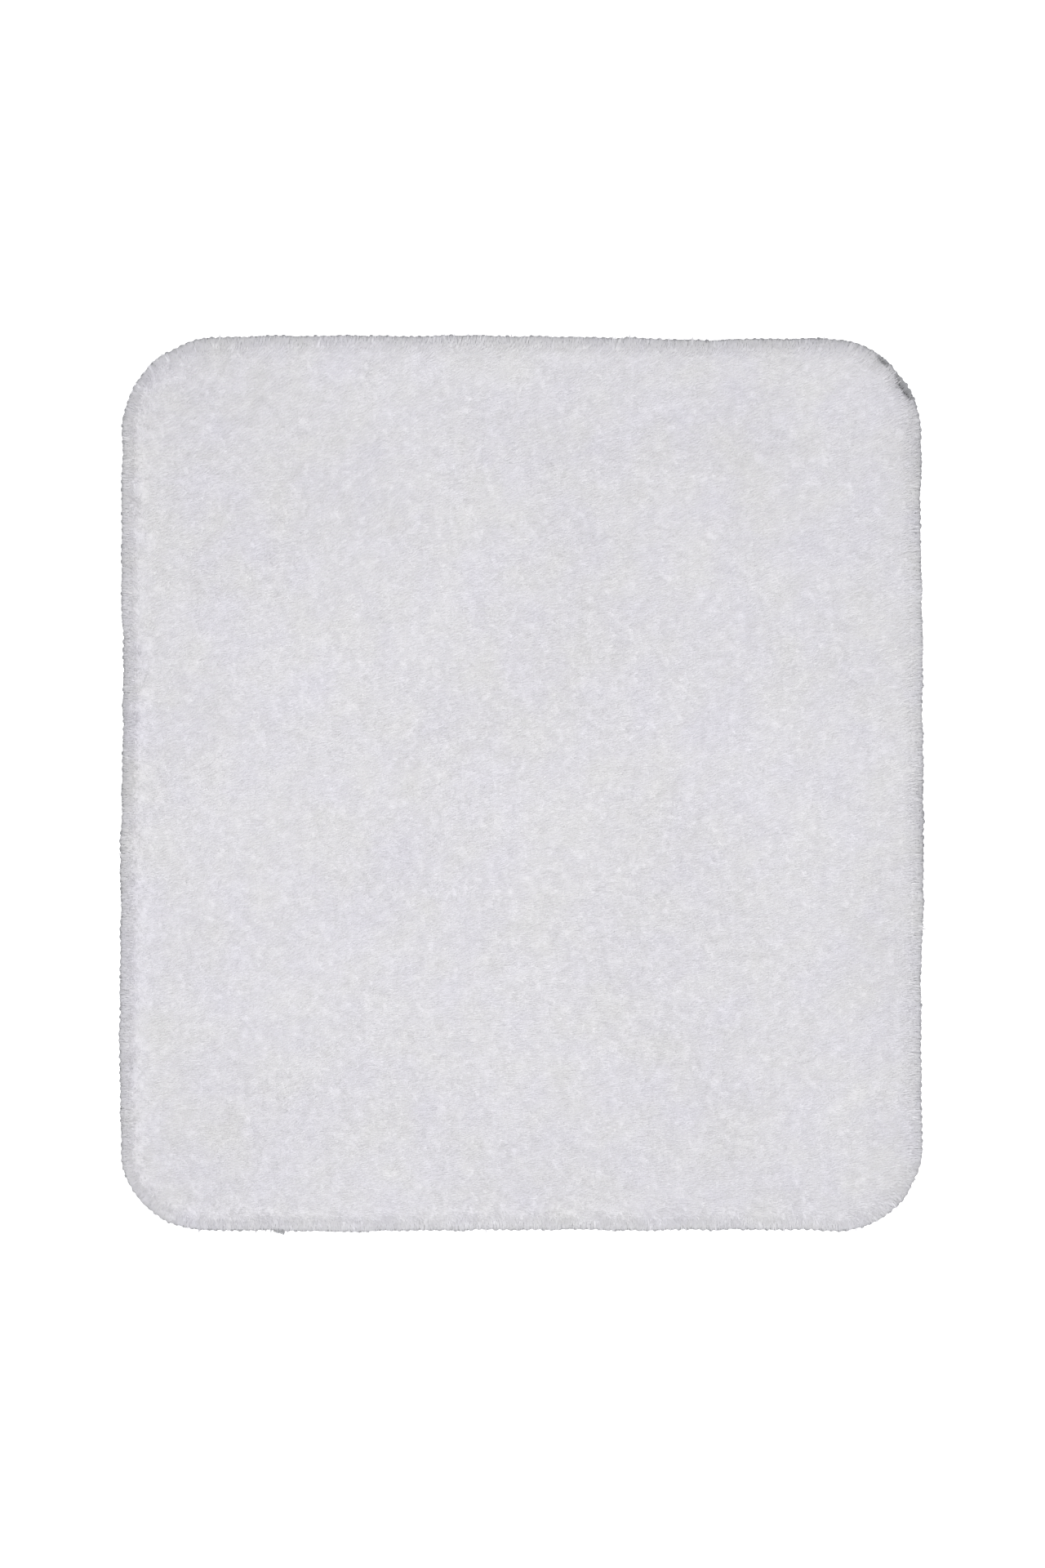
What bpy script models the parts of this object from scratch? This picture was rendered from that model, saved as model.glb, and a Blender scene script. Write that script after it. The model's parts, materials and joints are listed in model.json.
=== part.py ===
"""A tufted bath mat with a sewn, overlocked rim: cut pile on a woven backing, a lock coat and a grip coat.

Metres, +Z up. The origin is on the floor under the middle of the mat, X runs across it and Y along it.
"""

import math

import bmesh
import bpy

# The sewn rim, which sets the outline of every layer
RIM_WIDTH = 0.500
RIM_LENGTH = 0.5575
BACK_CORNER_RADIUS = 0.060  # the two corners at +Y
FRONT_CORNER_RADIUS = 0.052  # the two corners at -Y
CORNER_STEPS = 12

# The layers, from the floor up
CLEARANCE = 0.0003  # between one piece and the next
RIM_LIFT = 0.0002  # how far the rim's threads stay off the floor
GRIP_FILM = 0.0006  # the part of the grip coat that reaches the rim
LOCK_COAT = 0.0006
SCRIM = 0.0006
PILE_HEIGHT = 0.0160  # tuft length above the woven backing

# The overlock seam that wraps the edge
THREAD = 0.0007  # thickness of a layer of looper thread
NEEDLE_THREAD = 0.0006
SEAM_INSET = 0.0050  # from the rim's outer edge to the needle's stitches

# The pile's edge
PILE_OVERHANG = 0.0010  # how far the tips reach past the rim
PILE_SHOULDER = 0.0140  # how far in the pile rounds over
SHOULDER_STEPS = 6
UNDERCUT = 0.0016  # height of the turned-under edge of the pile

# The grip field, which is what rests on the floor, and the care label that lies in a pocket of it
FIELD_INSET = 0.0020  # from the needle's stitches to the grip field
FIELD_OVERLAP = 0.0003  # how far the field runs up into its film
LABEL_WIDTH = 0.030
LABEL_LENGTH = 0.045
LABEL_THICKNESS = 0.0005  # a folded ribbon, two layers
POCKET_MARGIN = 0.0015

# Heights that follow from the layers
grip_bottom = RIM_LIFT + THREAD + CLEARANCE
grip_top = grip_bottom + GRIP_FILM
lock_bottom = grip_top + CLEARANCE
lock_top = lock_bottom + LOCK_COAT
scrim_bottom = lock_top + CLEARANCE
scrim_top = scrim_bottom + SCRIM
pile_bottom = scrim_top + CLEARANCE
pile_top = pile_bottom + PILE_HEIGHT
looper_top = pile_bottom + THREAD
loopers_meet = (RIM_LIFT + looper_top) / 2
layer_inset = THREAD + CLEARANCE


def clear_scene():
    for obj in list(bpy.data.objects):
        bpy.data.objects.remove(obj)


def outline(inset):
    """The rim's outline drawn in by inset, anticlockwise from the right-hand side's front end."""
    half_x = RIM_WIDTH / 2 - inset
    half_y = RIM_LENGTH / 2 - inset
    corners = (
        (1, 1, BACK_CORNER_RADIUS),
        (-1, 1, BACK_CORNER_RADIUS),
        (-1, -1, FRONT_CORNER_RADIUS),
        (1, -1, FRONT_CORNER_RADIUS),
    )
    points = []
    for quarter, (side_x, side_y, rim_radius) in enumerate(corners):
        radius = rim_radius - inset
        for step in range(CORNER_STEPS + 1):
            angle = math.pi / 2 * (quarter + step / CORNER_STEPS)
            x = side_x * (half_x - radius) + radius * math.cos(angle)
            y = side_y * (half_y - radius) + radius * math.sin(angle)
            points.append((x, y))
    return points


def material(name, colour, roughness):
    made = bpy.data.materials.new(name)
    made.use_nodes = True
    shader = made.node_tree.nodes["Principled BSDF"]
    shader.inputs["Base Color"].default_value = (*colour, 1)
    shader.inputs["Roughness"].default_value = roughness
    shader.inputs["Metallic"].default_value = 0
    return made


def add_object(name, bm, finish):
    bmesh.ops.recalc_face_normals(bm, faces=bm.faces)
    mesh = bpy.data.meshes.new(name)
    bm.to_mesh(mesh)
    bm.free()
    mesh.materials.append(finish)
    obj = bpy.data.objects.new(name, mesh)
    bpy.context.scene.collection.objects.link(obj)
    return obj


def add_rings(bm, profile):
    """One loop of points round the mat for each (inset, height) of the profile, joined to the one before."""
    rings = [[bm.verts.new((x, y, z)) for x, y in outline(inset)] for inset, z in profile]
    for lower, upper in zip(rings, rings[1:]):
        bridge(bm, lower, upper)
    return rings


def bridge(bm, lower, upper):
    count = len(lower)
    for i in range(count):
        j = (i + 1) % count
        bm.faces.new((lower[i], lower[j], upper[j], upper[i]))


def add_plate(name, points, bottom, top, finish):
    """A flat plate with the given outline."""
    bm = bmesh.new()
    base = bm.faces.new([bm.verts.new((x, y, bottom)) for x, y in points])
    raised = bmesh.ops.extrude_face_region(bm, geom=[base])["geom"]
    moved = [part for part in raised if isinstance(part, bmesh.types.BMVert)]
    bmesh.ops.translate(bm, vec=(0, 0, top - bottom), verts=moved)
    return add_object(name, bm, finish)


def add_band(name, profile, finish):
    """A closed band that runs all the way round the rim, with the given closed cross-section."""
    bm = bmesh.new()
    rings = add_rings(bm, profile)
    bridge(bm, rings[-1], rings[0])
    return add_object(name, bm, finish)


def add_pile(finish):
    """The pile as one soft solid: it stands on the scrim, covers the seam and rounds over the rim."""
    field_edge = SEAM_INSET + 2 * CLEARANCE + NEEDLE_THREAD
    over_seam = looper_top + CLEARANCE
    widest = over_seam + UNDERCUT
    profile = [
        (field_edge, pile_bottom),
        (field_edge, over_seam),
        (UNDERCUT / 2 - PILE_OVERHANG, over_seam),
        (-PILE_OVERHANG, widest),
    ]
    for step in range(1, SHOULDER_STEPS + 1):
        angle = math.pi / 2 * step / SHOULDER_STEPS
        inset = -PILE_OVERHANG + PILE_SHOULDER * (1 - math.cos(angle))
        profile.append((inset, widest + (pile_top - widest) * math.sin(angle)))
    bm = bmesh.new()
    rings = add_rings(bm, profile)
    bm.faces.new(rings[0])
    bm.faces.new(rings[-1])
    pile = add_object("pile", bm, finish)
    pile.data.shade_smooth()
    pile.data.set_sharp_from_angle(angle=math.radians(40))


def add_upper_looper(finish):
    """Looper thread over the top of the edge, from the needle's stitches out and half way down the side."""
    profile = [
        (SEAM_INSET, pile_bottom),
        (SEAM_INSET, looper_top),
        (THREAD / 2, looper_top),
        (0, looper_top - THREAD / 2),
        (0, loopers_meet + CLEARANCE / 2),
        (THREAD, loopers_meet + CLEARANCE / 2),
        (THREAD, pile_bottom),
    ]
    add_band("overlock_upper_looper_thread", profile, finish)


def add_lower_looper(finish):
    """Looper thread under the edge, from half way up the side to below the needle's stitches."""
    profile = [
        (SEAM_INSET, RIM_LIFT),
        (SEAM_INSET, RIM_LIFT + THREAD),
        (THREAD, RIM_LIFT + THREAD),
        (THREAD, loopers_meet - CLEARANCE / 2),
        (0, loopers_meet - CLEARANCE / 2),
        (0, RIM_LIFT + THREAD / 2),
        (THREAD / 2, RIM_LIFT),
    ]
    add_band("overlock_lower_looper_thread", profile, finish)


def add_needle_thread(finish):
    """The straight line of stitches that holds the loopers, just inside them on top of the scrim."""
    inner = SEAM_INSET + CLEARANCE + NEEDLE_THREAD
    outer = SEAM_INSET + CLEARANCE
    top = pile_bottom + NEEDLE_THREAD
    profile = [(inner, pile_bottom), (inner, top), (outer, top), (outer, pile_bottom)]
    add_band("overlock_needle_thread", profile, finish)


def label_span():
    """The label's ends along Y: it hangs inwards from the middle of the back edge."""
    outer = RIM_LENGTH / 2 - SEAM_INSET - CLEARANCE
    return outer - LABEL_LENGTH, outer


def add_grip_coat(finish):
    """The rubbery coat: a film out to the rim, and the thicker field inside the seam that meets the floor."""
    film = add_plate("antislip_backing", outline(layer_inset), grip_bottom, grip_top, finish)
    field_inset = SEAM_INSET + FIELD_INSET
    field_top = grip_bottom + FIELD_OVERLAP
    field = add_plate("grip_field", outline(field_inset), 0, field_top, finish)
    label_end, label_start = label_span()
    pocket = add_pocket_cutter(label_end - POCKET_MARGIN, label_start, finish)
    join(film, field, "UNION")
    join(film, pocket, "DIFFERENCE")


def add_pocket_cutter(near, far, finish):
    """The room that the label takes up below the grip film."""
    half = LABEL_WIDTH / 2 + POCKET_MARGIN
    below = -FIELD_OVERLAP
    points = [(-half, near), (half, near), (half, far), (-half, far)]
    return add_plate("label_pocket", points, below, grip_bottom, finish)


def join(target, tool, operation):
    tool.hide_render = True
    tool.display_type = "WIRE"
    boolean = target.modifiers.new(tool.name, "BOOLEAN")
    boolean.operation = operation
    boolean.object = tool


def add_label(finish):
    """A blank care label: folded ribbon caught by the seam, lying flat under the mat."""
    near, far = label_span()
    half = LABEL_WIDTH / 2
    points = [(-half, near), (half, near), (half, far), (-half, far)]
    add_plate("care_label", points, RIM_LIFT, RIM_LIFT + LABEL_THICKNESS, finish)


def build():
    clear_scene()
    pile_yarn = material("pile_yarn", (0.76, 0.75, 0.79), 0.95)
    thread = material("overlock_thread", (0.70, 0.70, 0.72), 0.80)
    woven = material("woven_scrim", (0.78, 0.77, 0.74), 0.85)
    latex = material("lock_latex", (0.72, 0.70, 0.64), 0.60)
    rubber = material("grip_rubber", (0.74, 0.74, 0.73), 0.55)
    ribbon = material("label_ribbon", (0.85, 0.85, 0.84), 0.50)
    add_pile(pile_yarn)
    add_plate("primary_backing", outline(layer_inset), scrim_bottom, scrim_top, woven)
    add_plate("tuft_lock_coat", outline(layer_inset), lock_bottom, lock_top, latex)
    add_grip_coat(rubber)
    add_upper_looper(thread)
    add_lower_looper(thread)
    add_needle_thread(thread)
    add_label(ribbon)


build()
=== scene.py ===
import json
import math
import random

import bmesh
import bpy
import numpy as np
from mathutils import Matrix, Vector, noise

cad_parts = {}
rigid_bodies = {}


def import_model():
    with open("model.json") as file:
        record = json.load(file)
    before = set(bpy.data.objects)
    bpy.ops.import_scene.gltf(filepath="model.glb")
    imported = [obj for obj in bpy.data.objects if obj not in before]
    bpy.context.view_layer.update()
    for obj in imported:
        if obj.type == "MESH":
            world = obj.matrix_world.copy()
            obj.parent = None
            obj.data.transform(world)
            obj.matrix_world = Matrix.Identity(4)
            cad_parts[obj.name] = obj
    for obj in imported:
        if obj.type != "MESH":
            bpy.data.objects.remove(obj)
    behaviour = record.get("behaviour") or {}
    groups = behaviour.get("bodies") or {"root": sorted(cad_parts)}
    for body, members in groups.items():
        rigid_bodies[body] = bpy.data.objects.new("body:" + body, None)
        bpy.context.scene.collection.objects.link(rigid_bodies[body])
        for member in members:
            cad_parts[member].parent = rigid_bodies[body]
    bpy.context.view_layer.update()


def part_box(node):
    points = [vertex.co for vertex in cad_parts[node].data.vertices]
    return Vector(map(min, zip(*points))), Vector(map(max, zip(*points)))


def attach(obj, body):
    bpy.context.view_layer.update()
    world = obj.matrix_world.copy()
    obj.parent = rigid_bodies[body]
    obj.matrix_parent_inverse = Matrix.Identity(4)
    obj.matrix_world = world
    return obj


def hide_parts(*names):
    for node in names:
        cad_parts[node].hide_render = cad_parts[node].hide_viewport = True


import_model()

# where the layers lie, as the frame has them
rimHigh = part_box("overlock_upper_looper_thread")[1]
scrimLow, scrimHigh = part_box("primary_backing")
lockLow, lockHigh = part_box("tuft_lock_coat")
gripLow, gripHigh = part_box("antislip_backing")
labelLow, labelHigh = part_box("care_label")
layerInset = rimHigh.x - scrimHigh.x


# the outline that every layer follows
rim = {
    "halfWidth": rimHigh.x,
    "halfLength": rimHigh.y,
    "backRadius": 0.060,
    "frontRadius": 0.052,
    "seamInset": 0.005,
    "stitch": 0.005,
    # how the hand-guided seam wanders: waves round the mat, size, phase
    "wander": (
        (3, 0.0007, 2.2), (4, 0.0004, 0.6), (7, 0.0003, 2.1), (11, 0.0003, 4.0),
        (19, 0.0002, 1.1), (31, 0.0002, 5.2), (58, 0.0002, 0.3), (93, 0.00015, 3.3),
    ),
}


def wanderAt(x, y):
    angle = np.arctan2(y, x)
    return sum(size * np.sin(waves * angle + phase) for waves, size, phase in rim["wander"])


def rimStretches():
    # straight: length, start, direction. Arc: length, centre, radius, first angle
    wide, long = rim["halfWidth"], rim["halfLength"]
    back, front = rim["backRadius"], rim["frontRadius"]
    quarter = math.pi / 2
    return (
        (2 * long - back - front, (wide, front - long), (0, 1)),
        (quarter * back, (wide - back, long - back), back, 0),
        (2 * (wide - back), (wide - back, long), (-1, 0)),
        (quarter * back, (back - wide, long - back), back, quarter),
        (2 * long - back - front, (-wide, long - back), (0, -1)),
        (quarter * front, (front - wide, front - long), front, 2 * quarter),
        (2 * (wide - front), (front - wide, -long), (1, 0)),
        (quarter * front, (wide - front, front - long), front, 3 * quarter),
    )


rimLength = sum(stretch[0] for stretch in rimStretches())


def rimAt(distance, inset=0.0):
    # points of the wandering outline, drawn in by inset, and their outward normals
    distance = np.mod(np.asarray(distance, float), rimLength)
    points = np.zeros((len(distance), 2))
    normals = np.zeros((len(distance), 2))
    start = 0.0
    for stretch in rimStretches():
        here = (distance >= start) & (distance <= start + stretch[0])
        along = distance[here] - start
        if len(stretch) == 3:
            way = stretch[2]
            points[here] = np.array(stretch[1]) + along[:, None] * np.array(way)
            normals[here] = (way[1], -way[0])
        else:
            turned = stretch[3] + along / stretch[2]
            normals[here] = np.stack((np.cos(turned), np.sin(turned)), 1)
            points[here] = np.array(stretch[1]) + stretch[2] * normals[here]
        start += stretch[0]
    out = wanderAt(points[:, 0], points[:, 1]) - inset
    return points + normals * out[:, None], normals


def insetAt(x, y):
    # how far inside the rim a point lies, and which way is out
    radius = np.where(y > 0, rim["backRadius"], rim["frontRadius"])
    acrossX = np.abs(x) - rim["halfWidth"] + radius
    acrossY = np.abs(y) - rim["halfLength"] + radius
    cornerX, cornerY = np.maximum(acrossX, 0), np.maximum(acrossY, 0)
    corner = np.hypot(cornerX, cornerY)
    outside = np.minimum(np.maximum(acrossX, acrossY), 0) + corner - radius
    inCorner = (acrossX > 0) & (acrossY > 0)
    safe = np.maximum(corner, 1e-9)
    outX = np.where(inCorner, cornerX / safe, (acrossX >= acrossY) * 1.0) * np.sign(x)
    outY = np.where(inCorner, cornerY / safe, (acrossX < acrossY) * 1.0) * np.sign(y)
    return wanderAt(x, y) - outside, np.stack((outX, outY), -1)


def matGrid(cells, inset, crowd=1.0):
    # a square grid laid over the mat: its outer ring follows the outline, and crowd packs rings near it
    half = cells // 2
    corners = []
    start = 0.0
    for stretch in rimStretches():
        if len(stretch) == 4:
            corners.append(start + stretch[0] / 2)
        start += stretch[0]
    turns = (corners[3] - rimLength, *corners)
    steps = np.arange(-half, half + 1)
    i, j = np.meshgrid(steps, steps, indexing="ij")
    level = np.maximum(np.abs(i), np.abs(j))
    safe = np.maximum(level, 1)
    sides = [(i == level) & (j > -level), (j == level) & (i < level), (i == -level) & (j < level)]
    side = np.select(sides, [0, 1, 2], 3)
    share = np.select([side == 0, side == 1, side == 2], [j / safe, -i / safe, -j / safe], i / safe)
    first = np.array(turns[:4])[side]
    last = np.array(turns[1:])[side]
    distance = first + (share + 1) / 2 * (last - first)
    ring, _ = rimAt(distance.ravel(), inset)
    size = 1 - (1 - level.ravel() / half) ** crowd
    flat = ring * size[:, None]
    count = 2 * half + 1
    corner = (np.arange(count - 1)[:, None] * count + np.arange(count - 1)[None]).ravel()
    quads = np.stack((corner, corner + count, corner + count + 1, corner + 1), 1)
    edge = [(count - 1) * count + k for k in range(count)]
    edge += [k * count + count - 1 for k in range(count - 2, -1, -1)]
    edge += [k for k in range(count - 2, -1, -1)]
    edge += [k * count for k in range(1, count - 1)]
    return flat, quads, edge


def band(above, below):
    # the faces between two closed rings of points
    return list(zip(above, below, below[1:] + below[:1], above[1:] + above[:1]))


def addToScene(name, data):
    obj = bpy.data.objects.new(name, data)
    bpy.context.scene.collection.objects.link(obj)
    return obj


def meshObject(name, vertices, faces, finish=None, smooth=False):
    mesh = bpy.data.meshes.new(name)
    mesh.from_pydata([tuple(v) for v in vertices], [], [tuple(f) for f in faces])
    mesh.validate()
    if smooth:
        mesh.shade_smooth()
    if finish:
        mesh.materials.append(finish)
    return addToScene(name, mesh)


def turnOutward(obj):
    shape = bmesh.new()
    shape.from_mesh(obj.data)
    bmesh.ops.recalc_face_normals(shape, faces=shape.faces)
    shape.to_mesh(obj.data)
    shape.free()
    return obj


def addNode(tree, kind, feeds=None, **settings):
    made = tree.nodes.new(kind)
    for key, value in settings.items():
        setattr(made, key, value)
    for key, value in (feeds or {}).items():
        named = isinstance(key, str)
        socket = next(s for s in made.inputs if s.name == key and s.enabled) if named else made.inputs[key]
        if isinstance(value, bpy.types.NodeSocket):
            tree.links.new(value, socket)
        else:
            socket.default_value = value
    return made


def output(made, name=None):
    return next(s for s in made.outputs if s.enabled and name in (None, s.name))


def maths(tree, operation, *values, clamp=False):
    feeds = dict(enumerate(values))
    return output(addNode(tree, "ShaderNodeMath", feeds, operation=operation, use_clamp=clamp))


def times(tree, *values):
    return maths(tree, "MULTIPLY", *values)


def plus(tree, *values, clamp=False):
    return maths(tree, "ADD", *values, clamp=clamp)


def minus(tree, *values):
    return maths(tree, "SUBTRACT", *values)


def vectors(tree, operation, *values):
    feeds = dict(enumerate(values))
    if operation == "SCALE":
        feeds = {0: values[0], "Scale": values[1]}
    return output(addNode(tree, "ShaderNodeVectorMath", feeds, operation=operation))


def joined(tree, **parts):
    return output(addNode(tree, "ShaderNodeCombineXYZ", parts))


def part(tree, vector, axis):
    return output(addNode(tree, "ShaderNodeSeparateXYZ", {0: vector}), axis)


def ramp(tree, value, fromLow, fromHigh, toLow=0.0, toHigh=1.0, kind="LINEAR"):
    feeds = {"Value": value, "From Min": fromLow, "From Max": fromHigh, "To Min": toLow, "To Max": toHigh}
    return output(addNode(tree, "ShaderNodeMapRange", feeds, interpolation_type=kind))


def noiseAt(tree, place, scale, detail, result="Fac", **feeds):
    feeds = {"Vector": place, "Scale": scale, "Detail": detail, **feeds}
    return output(addNode(tree, "ShaderNodeTexNoise", feeds), result)


def randomValue(tree, low, high, seed, kind="FLOAT", **feeds):
    feeds = {"Min": low, "Max": high, "Seed": seed, **feeds}
    return output(addNode(tree, "FunctionNodeRandomValue", feeds, data_type=kind))


def namedValue(tree, name, kind="FLOAT"):
    return output(addNode(tree, "GeometryNodeInputNamedAttribute", {"Name": name}, data_type=kind))


def storeValue(tree, geometry, name, value, kind="FLOAT", domain="POINT"):
    feeds = {"Geometry": geometry, "Name": name, "Value": value}
    made = addNode(tree, "GeometryNodeStoreNamedAttribute", feeds, data_type=kind, domain=domain)
    return output(made)


def newTree(name, kind, inputs, outputs):
    tree = bpy.data.node_groups.new(name, kind)
    for label, socket in inputs:
        tree.interface.new_socket(label, in_out="INPUT", socket_type="NodeSocket" + socket)
    for label, socket in outputs:
        tree.interface.new_socket(label, in_out="OUTPUT", socket_type="NodeSocket" + socket)
    return tree, tree.nodes.new("NodeGroupInput").outputs, tree.nodes.new("NodeGroupOutput").inputs


# what the trees store for their own use
spareAttributes = (
    "lean", "tint", "rootHeight", "inset", "outward", "comb", "along", "turn", "stitch", "size", "facing",
    "droop", "rimward", "stand",
)


def grow(name, source, tree, values):
    # runs a tree on the source and keeps the result as a plain mesh
    modifier = source.modifiers.new(name, "NODES")
    modifier.node_group = tree
    for item in tree.interface.items_tree:
        if item.in_out == "INPUT" and item.name in values:
            modifier[item.identifier] = values[item.name]
    bpy.context.view_layer.update()
    graph = bpy.context.evaluated_depsgraph_get()
    mesh = bpy.data.meshes.new_from_object(source.evaluated_get(graph))
    mesh.name = name
    bpy.data.objects.remove(source)
    for spare in spareAttributes:
        if spare in mesh.attributes:
            mesh.attributes.remove(mesh.attributes[spare])
    return addToScene(name, mesh)


def newMaterial(name, values):
    made = bpy.data.materials.new(name)
    made.use_nodes = True
    shader = made.node_tree.nodes["Principled BSDF"]
    for key, value in values.items():
        shader.inputs[key].default_value = value
    return made, made.node_tree, shader


def addBump(tree, shader, strength, distance, height):
    bump = addNode(tree, "ShaderNodeBump", {"Strength": strength, "Distance": distance, "Height": height})
    tree.links.new(output(bump), shader.inputs["Normal"])


def keep(obj, slotName, *nodes):
    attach(obj, "root")
    if nodes:
        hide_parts(*nodes)
    return obj


def makeYarnTone():
    # from shaded root to bright tip, and from a cool to a warm white between neighbours
    takes = (
        ("Tint", "Float"), ("Along", "Float"), ("Cool", "Color"), ("Warm", "Color"),
        ("Root shade", "Float"), ("Spread", "Float"),
    )
    gives = (("Colour", "Color"), ("Tip", "Float"))
    tree, inputs, outputs = newTree("yarnTone", "ShaderNodeTree", takes, gives)
    feeds = {"Factor": inputs["Tint"], "A": inputs["Cool"], "B": inputs["Warm"]}
    hue = addNode(tree, "ShaderNodeMix", feeds, data_type="RGBA")
    tip = ramp(tree, inputs["Along"], 0.0, 0.75, kind="SMOOTHSTEP")
    shade = times(tree, minus(tree, 1.0, tip), inputs["Root shade"])
    # a steady scatter of light and dark between strands, worked out from the tint alone
    wraps = 37.0
    scatter = minus(tree, maths(tree, "FRACT", times(tree, inputs["Tint"], wraps)), 0.5)
    level = minus(tree, plus(tree, 1.0, times(tree, scatter, inputs["Spread"])), shade)
    colour = vectors(tree, "SCALE", output(hue, "Result"), level)
    tree.links.new(colour, outputs["Colour"])
    tree.links.new(tip, outputs["Tip"])
    return tree


def makeWeave():
    # height of a plain weave, from a position counted in threads
    takes = (("Vector", "Vector"), ("Threads", "Float"))
    tree, inputs, outputs = newTree("plainWeave", "ShaderNodeTree", takes, (("Height", "Float"),))
    scaled = vectors(tree, "SCALE", inputs["Vector"], inputs["Threads"])
    parts = addNode(tree, "ShaderNodeSeparateXYZ", {0: scaled})
    x = times(tree, parts.outputs["X"], math.pi)
    y = times(tree, parts.outputs["Y"], math.pi)
    ridgeX = maths(tree, "ABSOLUTE", maths(tree, "SINE", x))
    ridgeY = maths(tree, "ABSOLUTE", maths(tree, "SINE", y))
    height = times(tree, maths(tree, "POWER", ridgeX, 0.6), maths(tree, "POWER", ridgeY, 0.6))
    tree.links.new(height, outputs["Height"])
    return tree


yarnTone = makeYarnTone()
plainWeave = makeWeave()


# light and dark patches in the white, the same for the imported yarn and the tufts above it
blotches = {"scale": 38.0, "detail": 2.0, "contrast": 2.2}


def blotchTint(tree, place, clamp=False):
    blotch = noiseAt(tree, place, blotches["scale"], blotches["detail"])
    return plus(tree, times(tree, minus(tree, blotch, 0.5), blotches["contrast"]), 0.5, clamp=clamp)


def yarnMaterial(name, cool, warm, rootShade, spread, sheen):
    values = {"Roughness": 0.9, "Sheen Weight": sheen, "Sheen Roughness": 0.5, "Specular IOR Level": 0.25}
    made, tree, shader = newMaterial(name, values)
    place = addNode(tree, "ShaderNodeUVMap", uv_map="OFBake")
    parts = addNode(tree, "ShaderNodeSeparateXYZ", {0: place.outputs["UV"]})
    feeds = {
        "Tint": parts.outputs["X"], "Along": parts.outputs["Y"], "Cool": cool, "Warm": warm,
        "Root shade": rootShade, "Spread": spread,
    }
    tone = addNode(tree, "ShaderNodeGroup", feeds, node_tree=yarnTone)
    tree.links.new(tone.outputs["Colour"], shader.inputs["Base Color"])
    rough = minus(tree, 0.98, times(tree, tone.outputs["Tip"], 0.12))
    tree.links.new(rough, shader.inputs["Roughness"])
    return made


def groundMaterial(name, cool, warm, spread):
    # packed yarn below the tips: the same tones by place, painted shade towards the rim, and the fine relief
    # of cut ends
    values = {"Roughness": 0.95, "Sheen Weight": 0.10, "Specular IOR Level": 0.25}
    made, tree, shader = newMaterial(name, values)
    place = addNode(tree, "ShaderNodeTexCoord").outputs["Object"]
    tint = blotchTint(tree, place, clamp=True)
    grain = noiseAt(tree, place, 900.0, 3.0)
    feeds = {"Tint": tint, "Along": grain, "Cool": cool, "Warm": warm, "Root shade": 0.06, "Spread": spread}
    tone = addNode(tree, "ShaderNodeGroup", feeds, node_tree=yarnTone)
    # painted shade: the stored 'depth' values darken the colour towards the rim, standing in for the shade
    # there
    depth = addNode(tree, "ShaderNodeAttribute", attribute_name="depth").outputs["Fac"]
    darkest = 0.64  # the painted shade by the rim, as a share of the open field
    shade = plus(tree, darkest, times(tree, depth, 1 - darkest))
    tree.links.new(vectors(tree, "SCALE", tone.outputs["Colour"], shade), shader.inputs["Base Color"])
    feeds = {"Vector": place, "Rotation": (0.0, 0.0, -0.36), "Scale": (350.0, 1500.0, 900.0)}
    lay = output(addNode(tree, "ShaderNodeMapping", feeds))
    addBump(tree, shader, 0.5, 0.0006, noiseAt(tree, lay, 1.0, 2.0, Distortion=0.6))
    return made


pileGround = groundMaterial("pileGround", (0.750, 0.737, 0.778, 1), (0.755, 0.745, 0.750, 1), 0.02)
pileYarn = yarnMaterial("pileYarn", (0.920, 0.904, 0.950, 1), (0.929, 0.917, 0.921, 1), 0.02, 0.02, 0.10)
# painted shade: the thread's own colour is a pale whitish grey; this darker grey stands in for the shade over
# the rim, and the chain tail and loose ends take it too
shadedLooperThread = yarnMaterial("shadedLooperThread", (0.42, 0.42, 0.435, 1), (0.47, 0.47, 0.475, 1), 0.05, 0.06, 0.10)
print("finishes made")


def strandPath(distance, height, reach, aside, drop, steps=6, within=0.002):
    # from inside the seam, out over the rim by reach, swept aside and down
    foot, out = rimAt([distance])
    along = np.array((-out[0][1], out[0][0]))
    share = np.linspace(0, 1, steps)[:, None]
    flat = foot + out * (share * (reach + within) - within) + along * aside * share ** 1.5
    return np.column_stack((flat, height - drop * share[:, 0] ** 1.8))


def strandBundle(name, strands, finish, sides=5, taper=0.45):
    # closed tapering strands; each has a path, a radius and a tint
    vertices, faces, spots = [], [], []
    for path, radius, tint in strands:
        along = np.gradient(path, axis=0)
        across = np.cross(along, (0.0, 0.0, 1.0))
        across /= np.linalg.norm(across, axis=1)[:, None]
        up = np.cross(across, along)
        up /= np.linalg.norm(up, axis=1)[:, None]
        base = len(vertices)
        for step, middle in enumerate(path):
            share = step / (len(path) - 1)
            thick = radius * (1 - taper * share ** 3)
            for k in range(sides):
                angle = 2 * math.pi * k / sides
                out = across[step] * math.cos(angle) + up[step] * math.sin(angle)
                vertices.append(middle + thick * out)
                spots.append((tint, share))
        rings = [list(range(first, first + sides)) for first in range(base, len(vertices), sides)]
        for here, after in zip(rings, rings[1:]):
            faces += band(here, after)
        faces += [rings[0], rings[-1][::-1]]
    obj = turnOutward(meshObject(name, vertices, faces, finish, smooth=True))
    layer = obj.data.uv_layers.new(name="OFBake")
    corners = np.array([spots[loop.vertex_index] for loop in obj.data.loops])
    layer.data.foreach_set("uv", corners.ravel())
    return obj


# where the pile is combed back off the rim: place, reach, strength
combed = (
    (0.2405, 0.2485, 0.0085, 0.95), (0.2255, 0.2645, 0.0042, 0.65), (0.210, 0.225, 0.070, 0.14),
    (-0.250, 0.045, 0.055, 0.10), (0.250, -0.02, 0.03, 0.15),
)


def combAt(x, y):
    comb = np.zeros(len(x))
    for spotX, spotY, reach, strength in combed:
        comb += strength * np.exp(-((x - spotX) ** 2 + (y - spotY) ** 2) / reach ** 2)
    return np.clip(comb, 0, 1)


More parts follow.
